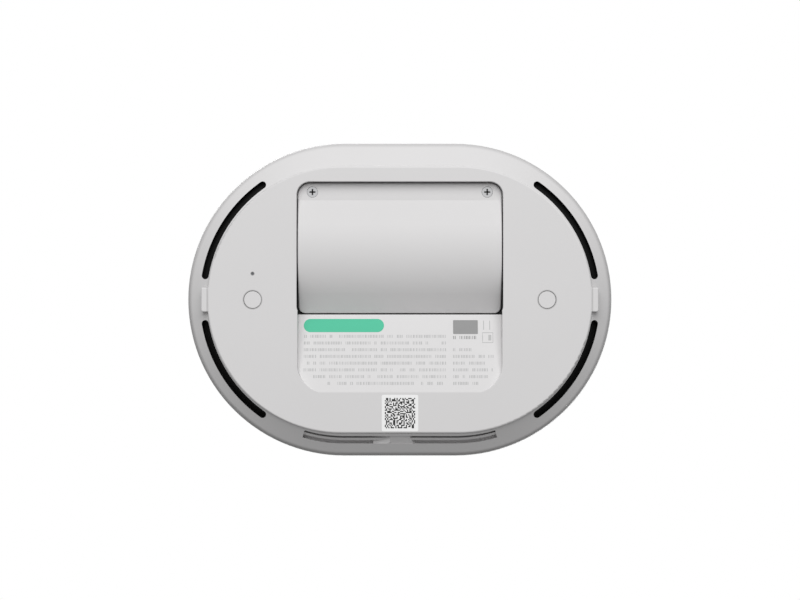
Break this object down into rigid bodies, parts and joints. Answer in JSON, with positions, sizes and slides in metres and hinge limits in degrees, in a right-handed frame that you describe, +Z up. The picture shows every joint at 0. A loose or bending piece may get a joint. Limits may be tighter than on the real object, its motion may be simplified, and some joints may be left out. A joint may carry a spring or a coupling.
{
  "type": "smart speaker",
  "caption": "Battery and mains smart speaker with a stadium footprint, fabric sleeve, light ring, top buttons and a screwed battery door underneath.",
  "frame": {"origin": "middle of the footprint at the flat underside plate", "axes": "+Z up, +X along the footprint's long axis, -Y is the front, +Y the rear with the power inlet"},
  "size_m": [0.1598, 0.1178, 0.098],
  "materials": {
    "plastic_light": "fine moulded texture",
    "plastic_dark": "matt black moulding",
    "mesh_black": "woven acoustic mesh",
    "fabric_grey": "knitted sleeve",
    "foam": "soft foam",
    "steel": "plated steel",
    "screw_dark": "black zinc",
    "magnet": "ferrite",
    "copper": "wound copper wire",
    "cell_wrap": "shrink wrap",
    "nickel": "nickel plate",
    "board": "solder mask",
    "rubber": "butyl",
    "paper": "pressed pulp",
    "cloth": "treated cloth",
    "diffuser": "milky diffuser",
    "clear": "clear acrylic",
    "aluminium": "anodised",
    "connector": "nylon"
  },
  "bodies": {
    "housing": {"base_plate": "plastic_light", "lower_shell": "plastic_light", "slot_meshes": "mesh_black", "battery_tray": "plastic_dark", "battery_cells": "cell_wrap", "battery_contacts": "nickel", "pairing_switch": "plastic_dark", "reset_switch": "plastic_dark", "left_button_board": "board", "right_button_board": "board", "button_board_screws": "steel", "light_pipe": "clear", "status_led": "diffuser", "main_board": "board", "main_board_screws": "steel", "power_inlet": "steel", "shield_can": "steel", "heat_sink": "aluminium", "board_connectors": "connector", "speaker_box": "plastic_dark", "box_gasket": "foam", "box_lid": "plastic_dark", "stack_screws": "steel", "driver_basket": "screw_dark", "driver_top_plate": "steel", "driver_magnet": "magnet", "driver_yoke": "steel", "driver_surround": "rubber", "driver_spider": "cloth", "driver_screws": "screw_dark", "radiator_frame": "plastic_dark", "radiator_surround": "rubber", "radiator_screws": "screw_dark", "grille_frame": "plastic_dark", "fabric_sleeve": "fabric_grey", "wifi_antennas": "copper", "top_cap": "plastic_light", "light_ring": "diffuser", "top_board": "board", "top_switches": "plastic_dark", "microphones": "nickel", "mic_gaskets": "rubber", "ring_lights": "diffuser"},
    "pairing_button": {"pairing_button": "plastic_light"},
    "reset_button": {"reset_button": "plastic_light"},
    "volume_up_button": {"volume_up_button": "plastic_light"},
    "volume_down_button": {"volume_down_button": "plastic_light"},
    "action_button": {"action_button": "plastic_light"},
    "mute_button": {"mute_button": "plastic_light"},
    "battery_door": {"battery_door": "plastic_light", "door_screws": "screw_dark", "cell_pad": "foam"},
    "woofer": {"voice_coil": "copper", "driver_cone": "paper", "dust_cap": "paper"},
    "radiator": {"radiator_diaphragm": "plastic_dark", "radiator_weight": "steel"}
  },
  "joints": [
    {"name": "battery_door_lift", "type": "slide", "parent": "housing", "child": "battery_door", "axis": [0, 0, -1], "range_m": [0, 0.03]},
    {"name": "pairing_button_press", "type": "slide", "parent": "housing", "child": "pairing_button", "axis": [0, 0, 1], "range_m": [0, 0.0008], "stiffness_N_per_m": 300, "springref_m": -0.0002},
    {"name": "reset_button_press", "type": "slide", "parent": "housing", "child": "reset_button", "axis": [0, 0, 1], "range_m": [0, 0.0008], "stiffness_N_per_m": 300, "springref_m": -0.0002},
    {"name": "volume_up_press", "type": "slide", "parent": "housing", "child": "volume_up_button", "axis": [0, 0, -1], "range_m": [0, 0.0006], "stiffness_N_per_m": 400, "springref_m": -0.0002},
    {"name": "volume_down_press", "type": "slide", "parent": "housing", "child": "volume_down_button", "axis": [0, 0, -1], "range_m": [0, 0.0006], "stiffness_N_per_m": 400, "springref_m": -0.0002},
    {"name": "action_press", "type": "slide", "parent": "housing", "child": "action_button", "axis": [0, 0, -1], "range_m": [0, 0.0006], "stiffness_N_per_m": 400, "springref_m": -0.0002},
    {"name": "mute_press", "type": "slide", "parent": "housing", "child": "mute_button", "axis": [0, 0, -1], "range_m": [0, 0.0006], "stiffness_N_per_m": 400, "springref_m": -0.0002},
    {"name": "cone_travel", "type": "slide", "parent": "housing", "child": "woofer", "axis": [0, -1, 0], "range_m": [-0.0015, 0.0015], "stiffness_N_per_m": 1200},
    {"name": "radiator_travel", "type": "slide", "parent": "housing", "child": "radiator", "axis": [0, 1, 0], "range_m": [-0.002, 0.002], "stiffness_N_per_m": 1200}
  ]
}
